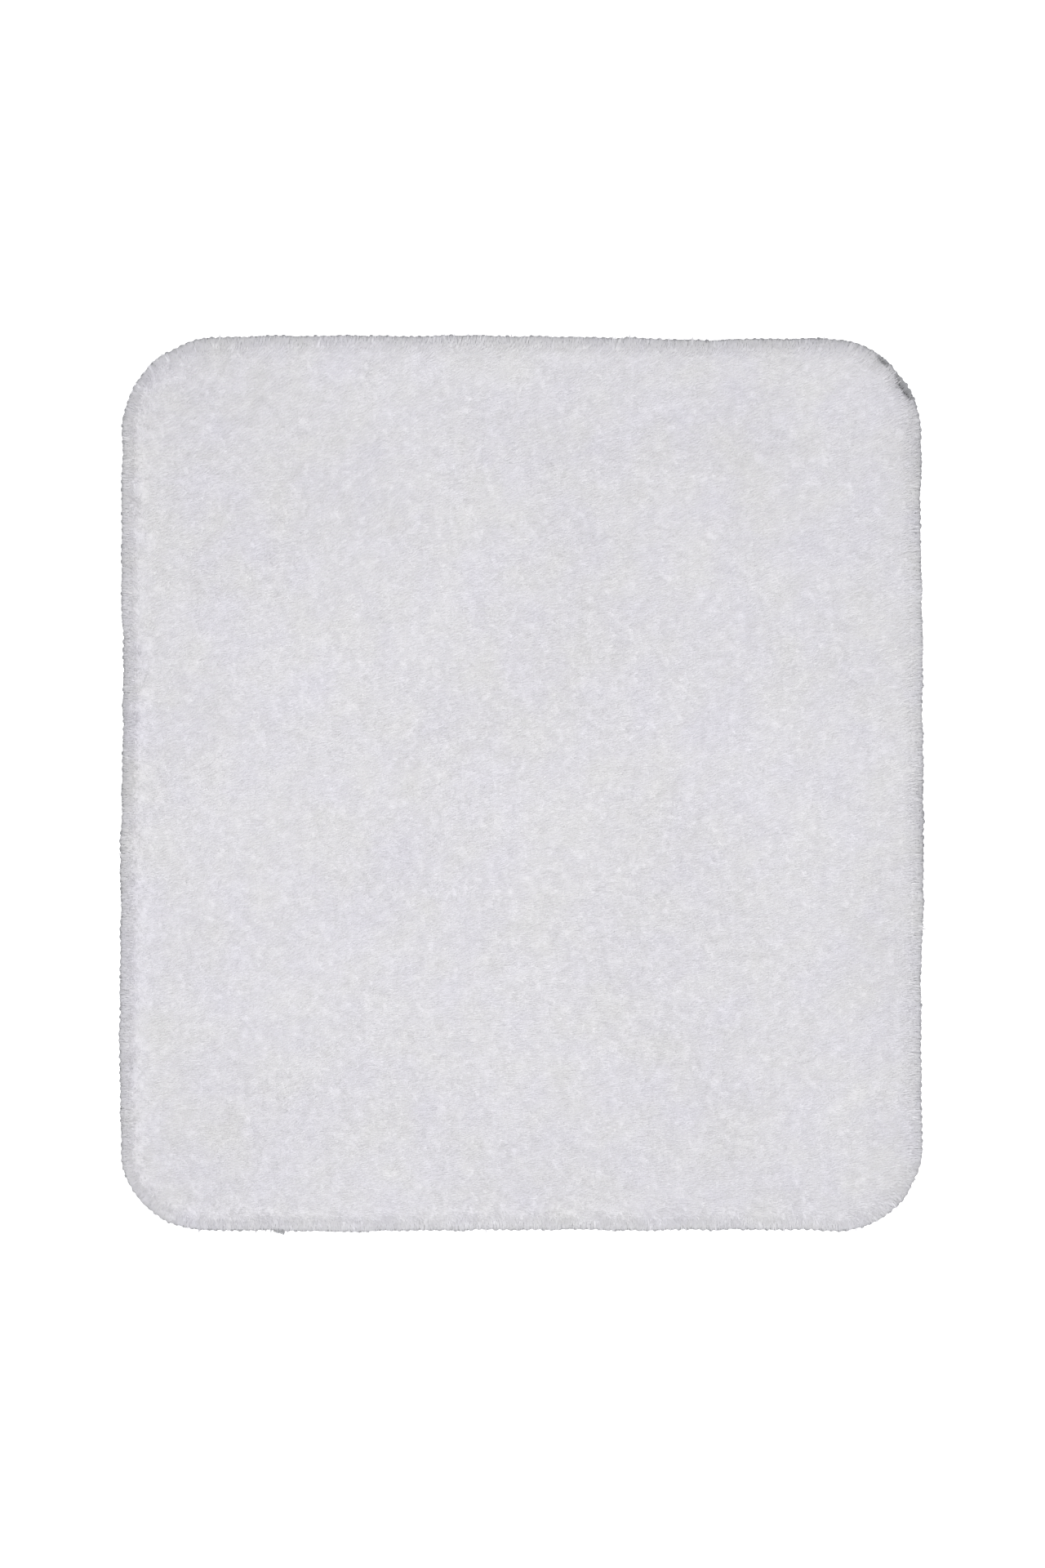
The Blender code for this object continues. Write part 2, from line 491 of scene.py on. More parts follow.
bed = {
    "cells": 130,
    "crowd": 1.35,  # packs the grid's rings near the rim
    "inset": 0.0020,  # where its side bulges furthest out over the seam
    "bulge": 0.0072,  # height of that bulge
    "top": 0.0148,
    "shoulder": 0.0135,
    "crown": 0.0005,
    "lumps": 0.0003,
    "lumpSize": 0.024,
    "combedIn": 0.0030,  # how much further in it starts where the pile is combed back
    "shadeWidth": 0.011,  # how far in from the rim its painted shade reaches
    "frontShine": 0.65,  # how much of that painted shade is left out at the front and back, which the lamps light more
    "backShine": 0.2,
    # below the bulge: further in, and how high
    "tuck": ((0.0007, 0.0060), (0.0022, 0.0051), (0.0046, 0.0039)),
}


def bedSurface(x, y):
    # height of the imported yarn, and which way it faces
    inset, outward = insetAt(x, y)
    inset = inset - bed["combedIn"] * combAt(x, y)
    rise = np.clip((inset - bed["inset"]) / bed["shoulder"], 0.004, 1)
    middle = 1 - (x / rim["halfWidth"]) ** 2 * 0.5 - (y / rim["halfLength"]) ** 2 * 0.5
    lumps = np.array([noise.noise(Vector((a, b, 0.3)) / bed["lumpSize"]) for a, b in zip(x, y)])
    arch = np.sqrt(1 - (1 - rise) ** 2)
    height = bed["top"] - bed["bulge"] + bed["crown"] * middle + bed["lumps"] * lumps
    slope = height / bed["shoulder"] * (1 - rise) / arch
    facing = np.column_stack((outward * slope[:, None], np.ones(len(x))))
    return bed["bulge"] + arch * height, facing / np.linalg.norm(facing, axis=1)[:, None]


def makeBed():
    flat, quads, edge = matGrid(bed["cells"], bed["inset"], bed["crowd"])
    inset, outward = insetAt(flat[:, 0], flat[:, 1])
    near = np.clip(1 - (inset - bed["inset"]) / bed["shoulder"], 0, 1)
    back = bed["combedIn"] * combAt(flat[:, 0], flat[:, 1]) * near
    flat = flat - outward * back[:, None]
    rings = [np.column_stack((flat, bedSurface(flat[:, 0], flat[:, 1])[0]))]
    _, outward = insetAt(flat[edge, 0], flat[edge, 1])
    for further, height in bed["tuck"]:
        rings.append(np.column_stack((flat[edge] - outward * further, np.full(len(edge), height))))
    faces = [tuple(q) for q in quads]
    above, start = list(edge), len(flat)
    for _ in bed["tuck"]:
        below = list(range(start, start + len(edge)))
        faces += band(above, below)
        above, start = below, start + len(edge)
    faces.append(tuple(reversed(above)))
    return np.vstack(rings), faces


tuft = {
    "kinds": 9,
    "strands": 12,
    "rowPitch": 0.0031,
    "stitchPitch": 0.0031,
    "jitter": 0.42,
    "outerInset": 0.0070,
    "buried": 0.0014,
    "length": 0.0060,
    "strandRadius": 0.00037,
    "fan": 0.0018,
    "patch": 0.0024,
    "bandCount": 9,
    "halfSpan": (0.26, 0.29),  # of the rows before they are cut to the outline
    "rimStart": 0.002,  # inset where the rim's hold on the tufts is full
    "rimward": 0.013,  # inset where their shading stops turning with their lean
    "mostLean": 0.92,
    "tintSpread": 0.18,
}
fringe = {
    "kinds": 6,
    "strands": 3,
    "rows": (0.0025, 0.0034, 0.0045, 0.0058, 0.0072, 0.0088),
    "spacing": 0.0010,
    "jitter": 0.4,
    "rowJitter": 0.0004,
    "buried": 0.0006,
    "length": 0.0050,
    "strandRadius": 0.00034,
    "fan": 0.0007,
    "patch": 0.0003,
    "reach": 0.0003,  # past the rim
    "scallop": 0.0005,
    "whiskers": 0.03,  # share of wisps that are longer, and how many times longer
    "longer": (1.2, 1.7),
    "combedShort": 0.3,  # how much shorter they are where the pile is combed back
    # further down the side: inset and height, and how steeply they hang
    "sideRows": ((0.0031, 0.0101), (0.0026, 0.0092), (0.0024, 0.0083), (0.0024, 0.0074), (0.0027, 0.0065)),
    "sideLength": 0.0027,
    "sideFall": -0.62,
    "sideSizes": (0.8, 1.1),
    "sideJitter": 0.0003,
    "sideSpread": 0.15,  # how far they stray from hanging straight
    "sideFacing": (0.6, 0.8),  # outward and up
    "bareFrom": 0.35,  # combing above which none are planted
}


def tuftKind(number, shape):
    # one cut tuft: fine tapering strands that bloom from one root
    draw = random.Random(100 + number)
    vertices, faces, along = [], [], []
    for strand in range(shape["strands"]):
        turn = 2 * math.pi * (strand + draw.uniform(-0.4, 0.4)) / shape["strands"] * 3
        foot = shape["patch"] * math.sqrt((strand + draw.uniform(0.1, 0.9)) / shape["strands"])
        spread = shape["fan"] * draw.uniform(0.0, 1.0)
        swing = turn + draw.uniform(-1.2, 1.2)
        tall = shape["length"] * draw.uniform(0.80, 1.05)
        radius = shape["strandRadius"] * draw.uniform(0.8, 1.2)
        base = len(vertices)
        for k in range(3):
            corner = 2 * math.pi * k / 3 + swing
            vertices.append((
                foot * math.cos(turn) + radius * math.cos(corner),
                foot * math.sin(turn) + radius * math.sin(corner),
                0.0,
            ))
            along.append(0.0)
        vertices.append((
            foot * math.cos(turn) + spread * math.cos(swing),
            foot * math.sin(turn) + spread * math.sin(swing),
            tall,
        ))
        along.append(1.0)
        faces.append((base + 2, base + 1, base))
        for k in range(3):
            faces.append((base + k, base + (k + 1) % 3, base + 3))
    obj = meshObject(f"tuftKind{number}", vertices, faces, smooth=True)
    mark = obj.data.attributes.new("along", "FLOAT", "POINT")
    mark.data.foreach_set("value", along)
    return obj


def makeTuftTree():
    inputs = (
        ("Geometry", "Geometry"), ("Tufts", "Collection"), ("Nap", "Vector"), ("Drift", "Float"),
        ("Swirl", "Float"), ("Scatter", "Float"), ("Edge band", "Float"), ("Edge lean", "Float"),
        ("Droop", "Float"), ("Kinds", "Int"), ("Own normal", "Float"), ("Lean normal", "Float"),
        ("Seed", "Int"), ("Yarn", "Material"),
    )
    tree, given, result = newTree("cutPile", "GeometryNodeTree", inputs, (("Geometry", "Geometry"),))
    place = output(addNode(tree, "GeometryNodeInputPosition"))

    def field(scale, shift):
        moved = vectors(tree, "ADD", place, shift)
        return vectors(tree, "SUBTRACT", noiseAt(tree, moved, scale, 1.0, "Color"), (0.5, 0.5, 0.5))

    def chance(low, high, extra):
        return randomValue(tree, low, high, plus(tree, given["Seed"], float(extra)))

    def nearRim(reach):
        return ramp(tree, namedValue(tree, "inset"), tuft["rimStart"], reach, 1.0, 0.0, "SMOOTHSTEP")

    edge = nearRim(given["Edge band"])
    comb = namedValue(tree, "comb")
    inner = minus(tree, 1.0, edge)
    lean = vectors(tree, "SCALE", given["Nap"], inner)
    ways = (
        ("Drift", 9.0, (3.0, 1.0, 0.0)),
        ("Swirl", 55.0, (0.0, 7.0, 2.0)),
        ("Scatter", 330.0, (5.0, 0.0, 4.0)),
    )
    for strength, scale, shift in ways:
        lean = vectors(tree, "ADD", lean, vectors(tree, "SCALE", field(scale, shift), given[strength]))
    pull = times(tree, edge, given["Edge lean"])
    held = minus(tree, 1.0, times(tree, comb, 1.5))
    pull = times(tree, pull, held)
    pull = vectors(tree, "SCALE", namedValue(tree, "outward", "FLOAT_VECTOR"), pull)
    lean = vectors(tree, "ADD", lean, pull)
    lean = vectors(tree, "MULTIPLY", lean, (1.0, 1.0, 0.0))
    size = output(addNode(tree, "ShaderNodeVectorMath", {0: lean}, operation="LENGTH"), "Value")
    limit = maths(tree, "DIVIDE", tuft["mostLean"], maths(tree, "MAXIMUM", size, 0.01))
    limit = maths(tree, "MINIMUM", 1.0, limit)
    lean = vectors(tree, "SCALE", lean, limit)

    tint = plus(tree, blotchTint(tree, place), chance(-tuft["tintSpread"], tuft["tintSpread"], 1), clamp=True)
    height = part(tree, place, "Z")
    droop = times(tree, times(tree, edge, given["Droop"]), held)
    rimward = nearRim(tuft["rimward"])
    points = storeValue(tree, given["Geometry"], "lean", lean, "FLOAT_VECTOR")
    for label, value in (("droop", droop), ("rimward", rimward), ("tint", tint), ("rootHeight", height)):
        points = storeValue(tree, points, label, value)

    feeds = {"Collection": given["Tufts"], "Separate Children": True, "Reset Children": True}
    kinds = addNode(tree, "GeometryNodeCollectionInfo", feeds)
    pick = randomValue(tree, 0, given["Kinds"], given["Seed"], "INT")
    spin = joined(tree, Z=chance(0.0, 6.283, 2))
    feeds = {"Rotation": spin, "Vector": namedValue(tree, "stand", "FLOAT_VECTOR")}
    spin = output(addNode(tree, "FunctionNodeAlignRotationToVector", feeds, axis="Z"))
    scale = times(tree, chance(0.86, 1.12, 3), namedValue(tree, "size"))
    feeds = {
        "Points": points, "Instance": output(kinds), "Pick Instance": True, "Instance Index": pick,
        "Rotation": spin, "Scale": scale,
    }
    planted = addNode(tree, "GeometryNodeInstanceOnPoints", feeds)
    strands = output(addNode(tree, "GeometryNodeRealizeInstances", {"Geometry": output(planted)}))

    # each strand bows over along its lean, more towards its tip, and loses the height that this takes
    above = minus(tree, part(tree, place, "Z"), namedValue(tree, "rootHeight"))
    above = maths(tree, "MAXIMUM", above, 0.0)
    bow = namedValue(tree, "along")
    bent = namedValue(tree, "lean", "FLOAT_VECTOR")
    over = vectors(tree, "SCALE", bent, times(tree, above, bow))
    steep = output(addNode(tree, "ShaderNodeVectorMath", {0: bent}, operation="LENGTH"), "Value")
    upright = maths(tree, "SQRT", minus(tree, 1.0, times(tree, steep, steep)))
    sunk = minus(tree, minus(tree, upright, 1.0), namedValue(tree, "droop"))
    sunk = times(tree, times(tree, above, bow), sunk)
    offset = vectors(tree, "ADD", over, joined(tree, Z=sunk))
    strands = output(addNode(tree, "GeometryNodeSetPosition", {"Geometry": strands, "Offset": offset}))
    # shade the strands as one soft surface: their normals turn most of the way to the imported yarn's own
    own = output(addNode(tree, "GeometryNodeInputNormal"), "Normal")
    turning = times(tree, times(tree, given["Lean normal"], bow), namedValue(tree, "rimward"))
    turned = vectors(tree, "SCALE", bent, turning)
    soft = vectors(tree, "ADD", vectors(tree, "SCALE", own, given["Own normal"]), turned)
    soft = vectors(tree, "NORMALIZE", vectors(tree, "ADD", soft, namedValue(tree, "facing", "FLOAT_VECTOR")))
    feeds = {"Mesh": strands, "Custom Normal": soft}
    strands = output(addNode(tree, "GeometryNodeSetMeshNormal", feeds, mode="FREE", domain="POINT"))
    spot = joined(tree, X=namedValue(tree, "tint"), Y=namedValue(tree, "along"))
    strands = storeValue(tree, strands, "OFBake", spot, "FLOAT2", "CORNER")
    finished = addNode(tree, "GeometryNodeSetMaterial", {"Geometry": strands, "Material": given["Yarn"]})
    tree.links.new(output(finished), result["Geometry"])
    return tree


def tuftRoots():
    # the tufting machine's rows, jostled, inside the seam
    halfWide, halfLong = tuft["halfSpan"]
    rows = np.arange(-halfLong, halfLong, tuft["rowPitch"])
    stitches = np.arange(-halfWide, halfWide, tuft["stitchPitch"])
    x, y = np.meshgrid(stitches, rows)
    x = x + (np.arange(len(rows)) % 2)[:, None] * tuft["stitchPitch"] / 2
    draw = np.random.default_rng(11)
    x = x + draw.uniform(-1, 1, x.shape) * tuft["stitchPitch"] * tuft["jitter"]
    y = y + draw.uniform(-1, 1, y.shape) * tuft["rowPitch"] * tuft["jitter"]
    x, y = x.ravel(), y.ravel()
    inside = insetAt(x, y)[0] > tuft["outerInset"]
    x, y = x[inside], y[inside]
    order = np.argsort(y, kind="stable")
    return x[order], y[order], np.ones(len(x))


def roundRim(number, draw):
    # one row's places round the rim, jostled, and each row set off from the last
    distance = np.arange(0, rimLength, fringe["spacing"]) + number * fringe["spacing"] / 3
    return distance + draw.uniform(-1, 1, len(distance)) * fringe["spacing"] * fringe["jitter"]


def fringeRoots():
    # shorter wisps over the seam, just long enough to reach the rim, in time with its stitches
    draw = np.random.default_rng(12)
    places, sizes = [], []
    for number, row in enumerate(fringe["rows"]):
        distance = roundRim(number, draw)
        inset = row + draw.uniform(-1, 1, len(distance)) * fringe["rowJitter"]
        points, normals = rimAt(distance)
        places.append(points - normals * inset[:, None])
        wave = np.abs(np.sin(math.pi * distance / rim["stitch"])) * 2 - 1
        reach = np.minimum(inset + fringe["reach"] + fringe["scallop"] * wave, fringe["length"])
        longer = draw.random(len(distance)) < fringe["whiskers"]
        longer = np.where(longer, draw.uniform(*fringe["longer"], len(distance)), 1.0)
        sizes.append(reach * longer / fringe["length"])
    x, y = np.vstack(places).T
    size = np.concatenate(sizes) * (1 - fringe["combedShort"] * combAt(x, y))
    return x, y, size


def sideRoots():
    # wisps down the side, which cover it to just above the seam
    draw = np.random.default_rng(13)
    places, sizes, heights = [], [], []
    for number, (inset, height) in enumerate(fringe["sideRows"]):
        distance = roundRim(number, draw)
        points, normals = rimAt(distance)
        places.append(points - normals * inset)
        scale = draw.uniform(*fringe["sideSizes"], len(distance))
        sizes.append(fringe["sideLength"] / fringe["length"] * scale)
        heights.append(height + draw.uniform(-fringe["sideJitter"], fringe["sideJitter"], len(distance)))
    x, y = np.vstack(places).T
    covered = combAt(x, y) < fringe["bareFrom"]
    return x[covered], y[covered], np.concatenate(sizes)[covered], np.concatenate(heights)[covered]


def plant(name, roots, buried, tree, values):
    x, y, size = roots[:3]
    inset, outward = insetAt(x, y)
    height, facing = bedSurface(x, y)
    stand = np.tile((0.0, 0.0, 1.0), (len(x), 1))
    if len(roots) == 4:
        height = roots[3]
        out, up = fringe["sideFacing"]
        facing = np.column_stack((outward * out, np.full(len(x), up)))
        fall = np.random.default_rng(14).normal(0, fringe["sideSpread"], (len(x), 3))
        stand = np.column_stack((outward, np.full(len(x), fringe["sideFall"]))) + fall
    points = meshObject("roots", np.column_stack((x, y, height - buried)), [])
    attributes = points.data.attributes
    for label, numbers in (("inset", inset), ("comb", combAt(x, y)), ("size", size)):
        attributes.new(label, "FLOAT", "POINT").data.foreach_set("value", numbers)
    lying = np.column_stack((outward, np.zeros(len(x))))
    for label, directions in (("outward", lying), ("facing", facing), ("stand", stand)):
        attributes.new(label, "FLOAT_VECTOR", "POINT").data.foreach_set("vector", directions.ravel())
    return keep(grow(name, points, tree, values), "pile_yarn", "pile")


def kindsOf(name, shape):
    kinds = bpy.data.collections.new(name)
    for number in range(shape["kinds"]):
        obj = tuftKind(number, shape)
        kinds.objects.link(obj)
        bpy.context.scene.collection.objects.unlink(obj)
    return kinds


def makePile():
    tree = makeTuftTree()
    tufts, wisps = kindsOf("tuftKinds", tuft), kindsOf("wispKinds", fringe)
    values = {
        "Tufts": tufts, "Kinds": tuft["kinds"] - 1, "Nap": (0.60, 0.23, 0.0), "Drift": 0.45, "Swirl": 0.14,
        "Scatter": 0.4, "Edge band": 0.016, "Edge lean": 0.86, "Droop": 0.0, "Own normal": 0.03,
        "Lean normal": 0.12, "Yarn": pileYarn,
    }
    x, y, size = tuftRoots()
    made = []
    for number, band in enumerate(np.array_split(np.arange(len(x)), tuft["bandCount"])):
        roots = (x[band], y[band], size[band])
        made.append(plant(f"pileTufts{number + 1}", roots, tuft["buried"], tree, {**values, "Seed": number}))
    values.update({
        "Tufts": wisps, "Kinds": fringe["kinds"] - 1, "Edge band": 0.020, "Edge lean": 0.96, "Droop": 0.2,
        "Drift": 0.2, "Scatter": 0.9, "Own normal": 0.4, "Lean normal": 0.22, "Seed": 20,
    })
    made.append(plant("pileFringe", fringeRoots(), fringe["buried"], tree, values))
    still = dict.fromkeys(("Edge lean", "Droop", "Drift", "Swirl", "Scatter"), 0.0)
    values.update({"Nap": (0.0, 0.0, 0.0), **still, "Seed": 21})
    made.append(plant("pileSide", sideRoots(), 0.0, tree, values))
    for kinds in (tufts, wisps):
        for obj in list(kinds.objects):
            bpy.data.objects.remove(obj)
        bpy.data.collections.remove(kinds)
    print("tufts:", len(x), "and", sum(len(obj.data.polygons) for obj in made), "faces in all")


def shadeBed(obj):
    # painted shade: the imported yarn's colour is darkened towards the rim, least so along the front edge
    places = np.array([vertex.co for vertex in obj.data.vertices])
    inset, outward = insetAt(places[:, 0], places[:, 1])
    # 'depth' carries the painted shade: 1 leaves the colour as it is, 0 gives the darkest painted shade at
    # the rim
    depth = np.clip((inset - bed["inset"]) / bed["shadeWidth"], 0, 1) ** 0.5
    depth = depth * (places[:, 2] > bed["bulge"])
    front, back = np.maximum(-outward[:, 1], 0), np.maximum(outward[:, 1], 0)
    shaded = 1 - bed["frontShine"] * front - bed["backShine"] * back
    depth = 1 - (1 - depth) * shaded
    obj.data.attributes.new("depth", "FLOAT", "POINT").data.foreach_set("value", depth)


pileBed = keep(meshObject("pileBed", *makeBed(), pileGround, smooth=True), "pile_yarn", "pile")
shadeBed(pileBed)
makePile()


looper = {
    "steps": 8,
    "plies": 3,
    "plyRadius": 0.00058,
    "plySpread": 0.00090,
    "nest": 0.0004,  # how much shorter the outer plies turn
    "upperInset": -0.0003,
    "lowerInset": 0.0000,
    "slant": 0.0012,
    "unevenness": 0.0006,
}
needle = {"steps": 6, "plyRadius": 0.00016, "plySpread": 0.0003, "sway": 0.0003}


def makeLoopTree():
    inputs = (
        ("Geometry", "Geometry"), ("Stitches", "Int"), ("Steps", "Int"), ("Plies", "Int"),
        ("Ply radius", "Float"), ("Ply spread", "Float"), ("Nest", "Float"), ("Seam inset", "Float"),
        ("Edge inset", "Float"), ("Flat height", "Float"), ("Edge height", "Float"), ("Slant", "Float"),
        ("Start", "Float"), ("Unevenness", "Float"), ("Seed", "Int"), ("Thread", "Material"),
    )
    tree, given, result = newTree("loopedThread", "GeometryNodeTree", inputs, (("Geometry", "Geometry"),))
    count = times(tree, given["Stitches"], given["Steps"])
    loop = output(addNode(tree, "GeometryNodeMeshToCurve", {"Mesh": given["Geometry"]}))
    loop = output(addNode(tree, "GeometryNodeResampleCurve", {"Curve": loop, "Count": count}, mode="COUNT"))
    stitch = maths(tree, "DIVIDE", output(addNode(tree, "GeometryNodeInputIndex")), given["Steps"])
    turn = plus(tree, times(tree, stitch, 2 * math.pi), given["Start"])
    back = times(tree, plus(tree, 1.0, maths(tree, "COSINE", turn)), 0.5)
    out = minus(tree, 1.0, times(tree, back, back))
    loop = storeValue(tree, loop, "turn", turn)
    loop = storeValue(tree, loop, "along", out)
    loop = storeValue(tree, loop, "stitch", maths(tree, "FLOOR", stitch))
    feeds = {"Geometry": loop, "Amount": given["Plies"]}
    plies = addNode(tree, "GeometryNodeDuplicateElements", feeds, domain="SPLINE")
    ply = output(plies, "Duplicate Index")
    ident = plus(tree, namedValue(tree, "stitch"), times(tree, ply, 1000.0))
    loop = storeValue(tree, output(plies), "tint", randomValue(tree, 0.0, 1.0, given["Seed"], ID=ident))

    # from the needle's line out to the rim and back, and down over the edge as it turns
    out = namedValue(tree, "along")
    middle = maths(tree, "DIVIDE", minus(tree, given["Plies"], 1.0), 2.0)
    aside = minus(tree, ply, middle)
    nested = times(tree, maths(tree, "ABSOLUTE", aside), given["Nest"])
    nearest = plus(tree, given["Edge inset"], nested)
    uneven = times(tree, minus(tree, namedValue(tree, "tint"), 0.5), given["Unevenness"])
    nearest = plus(tree, nearest, uneven)
    inset = ramp(tree, out, 0.0, 1.0, given["Seam inset"], nearest)
    fall = maths(tree, "DIVIDE", minus(tree, out, 0.5), 0.5, clamp=True)
    drop = minus(tree, 1.0, maths(tree, "SQRT", minus(tree, 1.0, times(tree, fall, fall))))
    height = ramp(tree, drop, 0.0, 1.0, given["Flat height"], given["Edge height"])
    forward = output(addNode(tree, "GeometryNodeInputTangent"))
    outward = vectors(tree, "CROSS_PRODUCT", forward, (0.0, 0.0, 1.0))
    shift = times(tree, aside, given["Ply spread"])
    shift = plus(tree, shift, times(tree, out, given["Slant"]))
    offset = vectors(tree, "SCALE", outward, times(tree, inset, -1.0))
    offset = vectors(tree, "ADD", offset, vectors(tree, "SCALE", forward, shift))
    offset = vectors(tree, "ADD", offset, joined(tree, Z=height))
    place = output(addNode(tree, "GeometryNodeInputPosition"))
    moved = vectors(tree, "ADD", place, vectors(tree, "SCALE", (0.013, 0.021, 0.017), ply))
    wobble = noiseAt(tree, moved, 260.0, 1.0, "Color")
    wobble = vectors(tree, "MULTIPLY", vectors(tree, "SUBTRACT", wobble, (0.5, 0.5, 0.5)), (1.0, 1.0, 0.35))
    offset = vectors(tree, "ADD", offset, vectors(tree, "SCALE", wobble, given["Unevenness"]))
    loop = output(addNode(tree, "GeometryNodeSetPosition", {"Geometry": loop, "Offset": offset}))
    feeds = {"Resolution": 5, "Radius": given["Ply radius"]}
    profile = addNode(tree, "GeometryNodeCurvePrimitiveCircle", feeds)
    yarn = addNode(tree, "GeometryNodeCurveToMesh", {"Curve": loop, "Profile Curve": output(profile)})
    yarn = addNode(tree, "GeometryNodeSetShadeSmooth", {"Geometry": output(yarn)})
    spot = joined(tree, X=namedValue(tree, "tint"), Y=namedValue(tree, "along"))
    yarn = storeValue(tree, output(yarn), "OFBake", spot, "FLOAT2", "CORNER")
    finished = addNode(tree, "GeometryNodeSetMaterial", {"Geometry": yarn, "Material": given["Thread"]})
    tree.links.new(output(finished), result["Geometry"])
    return tree


loopTree = makeLoopTree()


def loopThread(name, replaced, values):
    ring, _ = rimAt(np.linspace(0, rimLength, 1600, endpoint=False))
    line = bpy.data.meshes.new("rimLine")
    ends = [(k, (k + 1) % len(ring)) for k in range(len(ring))]
    line.from_pydata([(x, y, 0.0) for x, y in ring], ends, [])
    source = addToScene("rimLine", line)
    values = {"Stitches": round(rimLength / rim["stitch"]), "Thread": shadedLooperThread, **values}
    return keep(grow(name, source, loopTree, values), "overlock_thread", replaced)


def looperValues(flat, edge, inset, start, seed):
    return {
        "Steps": looper["steps"], "Plies": looper["plies"], "Ply radius": looper["plyRadius"],
        "Ply spread": looper["plySpread"], "Seam inset": rim["seamInset"], "Edge inset": inset,
        "Nest": looper["nest"], "Flat height": flat, "Edge height": edge, "Slant": looper["slant"],
        "Start": start, "Unevenness": looper["unevenness"], "Seed": seed,
    }


def makeThreads():
    lowFoot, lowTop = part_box("overlock_lower_looper_thread")
    upFoot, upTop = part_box("overlock_upper_looper_thread")
    needleFoot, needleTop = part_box("overlock_needle_thread")
    radius = looper["plyRadius"]
    upper = looperValues(upTop.z - radius, upFoot.z + radius, looper["upperInset"], 0.0, 1)
    loopThread("upperLooper", "overlock_upper_looper_thread", upper)
    lower = looperValues(lowFoot.z + radius, lowTop.z - radius, looper["lowerInset"], math.pi, 2)
    loopThread("lowerLooper", "overlock_lower_looper_thread", lower)
    thin = needle["plyRadius"]
    values = {
        "Steps": needle["steps"], "Plies": 2, "Ply radius": thin, "Ply spread": needle["plySpread"],
        "Seam inset": rim["seamInset"] + needle["sway"], "Edge inset": rim["seamInset"], "Nest": 0.0,
        "Flat height": needleTop.z - thin, "Edge height": needleFoot.z + thin, "Slant": 0.0, "Start": 0.0,
        "Unevenness": 0.0001, "Seed": 3,
    }
    loopThread("needleThread", "overlock_needle_thread", values)
    print("threads looped")


def frontDistance(x):
    # how far round the rim the front edge has this x
    before = sum(stretch[0] for stretch in rimStretches()[:6])
    return before + x + rim["halfWidth"] - rim["frontRadius"]


# the chain tail where the overlock run ends on the front edge, and single ends beside it
tail = {
    "from": -0.1545,
    "to": -0.1482,
    "plies": 9,
    "radius": 0.00056,
    "shortest": 0.0019,
    "longest": 0.0032,
    "slant": -0.0005,
    "height": 0.0036,
    "drop": 0.0014,
    "uneven": 0.0002,
}
looseEnds = {
    # place along the front edge, and how far past the rim
    "ends": ((-0.1563, 0.0026), (-0.1570, 0.0024), (-0.1592, 0.0019), (-0.1660, 0.0022), (-0.1701, 0.0014)),
    "radius": 0.00028,
    "height": 0.0034,
    "drop": 0.0012,
    "sweep": (-0.0012, 0.0006),
}
# fine ends of pile that stand out past the rim: more of them by the combed-back corner
whisker = {
    "count": 90,
    "cornerCount": 22,
    "corner": (0.15, 0.95),  # share of the corner they stand along
    "radius": 0.00011,
    "reach": (0.0006, 0.0019),
    "height": (0.0040, 0.0065),
    "sweep": (-0.0012, 0.0012),
    "drop": (0.0004, 0.0020),
}


def makeLooseEnds():
    draw = random.Random(31)
    strands = []
    for k in range(tail["plies"]):
        share = k / (tail["plies"] - 1)
        place = frontDistance(tail["from"] + share * (tail["to"] - tail["from"]))
        reach = tail["shortest"] + share * (tail["longest"] - tail["shortest"])
        reach += draw.uniform(-tail["uneven"], tail["uneven"])
        path = strandPath(place, tail["height"], reach, tail["slant"], tail["drop"])
        strands.append((path, tail["radius"], 0.2 + 0.6 * (k % 2)))
    for x, reach in looseEnds["ends"]:
        sweep = draw.uniform(*looseEnds["sweep"])
        path = strandPath(frontDistance(x), looseEnds["height"], reach, sweep, looseEnds["drop"])
        strands.append((path, looseEnds["radius"], 0.0))
    keep(strandBundle("chainTail", strands, shadedLooperThread), "overlock_thread", "overlock_upper_looper_thread")
    quarter = math.pi / 2 * rim["backRadius"]
    cornerStart = rimStretches()[0][0]
    places = [draw.uniform(0, rimLength) for _ in range(whisker["count"])]
    corner = [draw.uniform(*whisker["corner"]) for _ in range(whisker["cornerCount"])]
    places += [cornerStart + quarter * share for share in corner]
    strands = []
    for place in places:
        reach, height, sweep, drop = [
            draw.uniform(*whisker[label]) for label in ("reach", "height", "sweep", "drop")
        ]
        path = strandPath(place, height, reach, sweep, drop)
        strands.append((path, whisker["radius"], draw.random()))
    keep(strandBundle("looseEnds", strands, shadedLooperThread, 3), "pile_yarn", "pile")


makeThreads()
makeLooseEnds()


film = {"cells": 48, "ripple": 0.00006, "rippleSize": 0.012}
dot = {
    "pitch": 0.011,
    "radius": 0.0025,
    "around": 8,
    "rings": 2,
    "inset": 0.009,
    "labelMargin": 0.004,
    "narrowing": 0.62,
    "sunk": 0.0002,  # how far each dot starts inside the film
    "smallest": 0.93,
}
label = {"thickness": 0.00014, "across": 14, "along": 30, "foldSteps": 8}


def slab(low, high, ripple=0.0):
    # a closed layer that follows the outline; ripple loosens both its faces
    flat, quads, edge = matGrid(film["cells"], layerInset)
    wave = np.array([noise.noise(Vector((x, y, 0.7)) / film["rippleSize"]) for x, y in flat]) * ripple
    top = np.column_stack((flat, np.full(len(flat), high) + wave))
    foot = np.column_stack((flat, np.full(len(flat), low) + wave))
    count = len(flat)
    faces = [tuple(q) for q in quads] + [tuple(count + q[::-1]) for q in quads]
    faces += band(edge, [count + k for k in edge])
    return np.vstack((top, foot)), faces


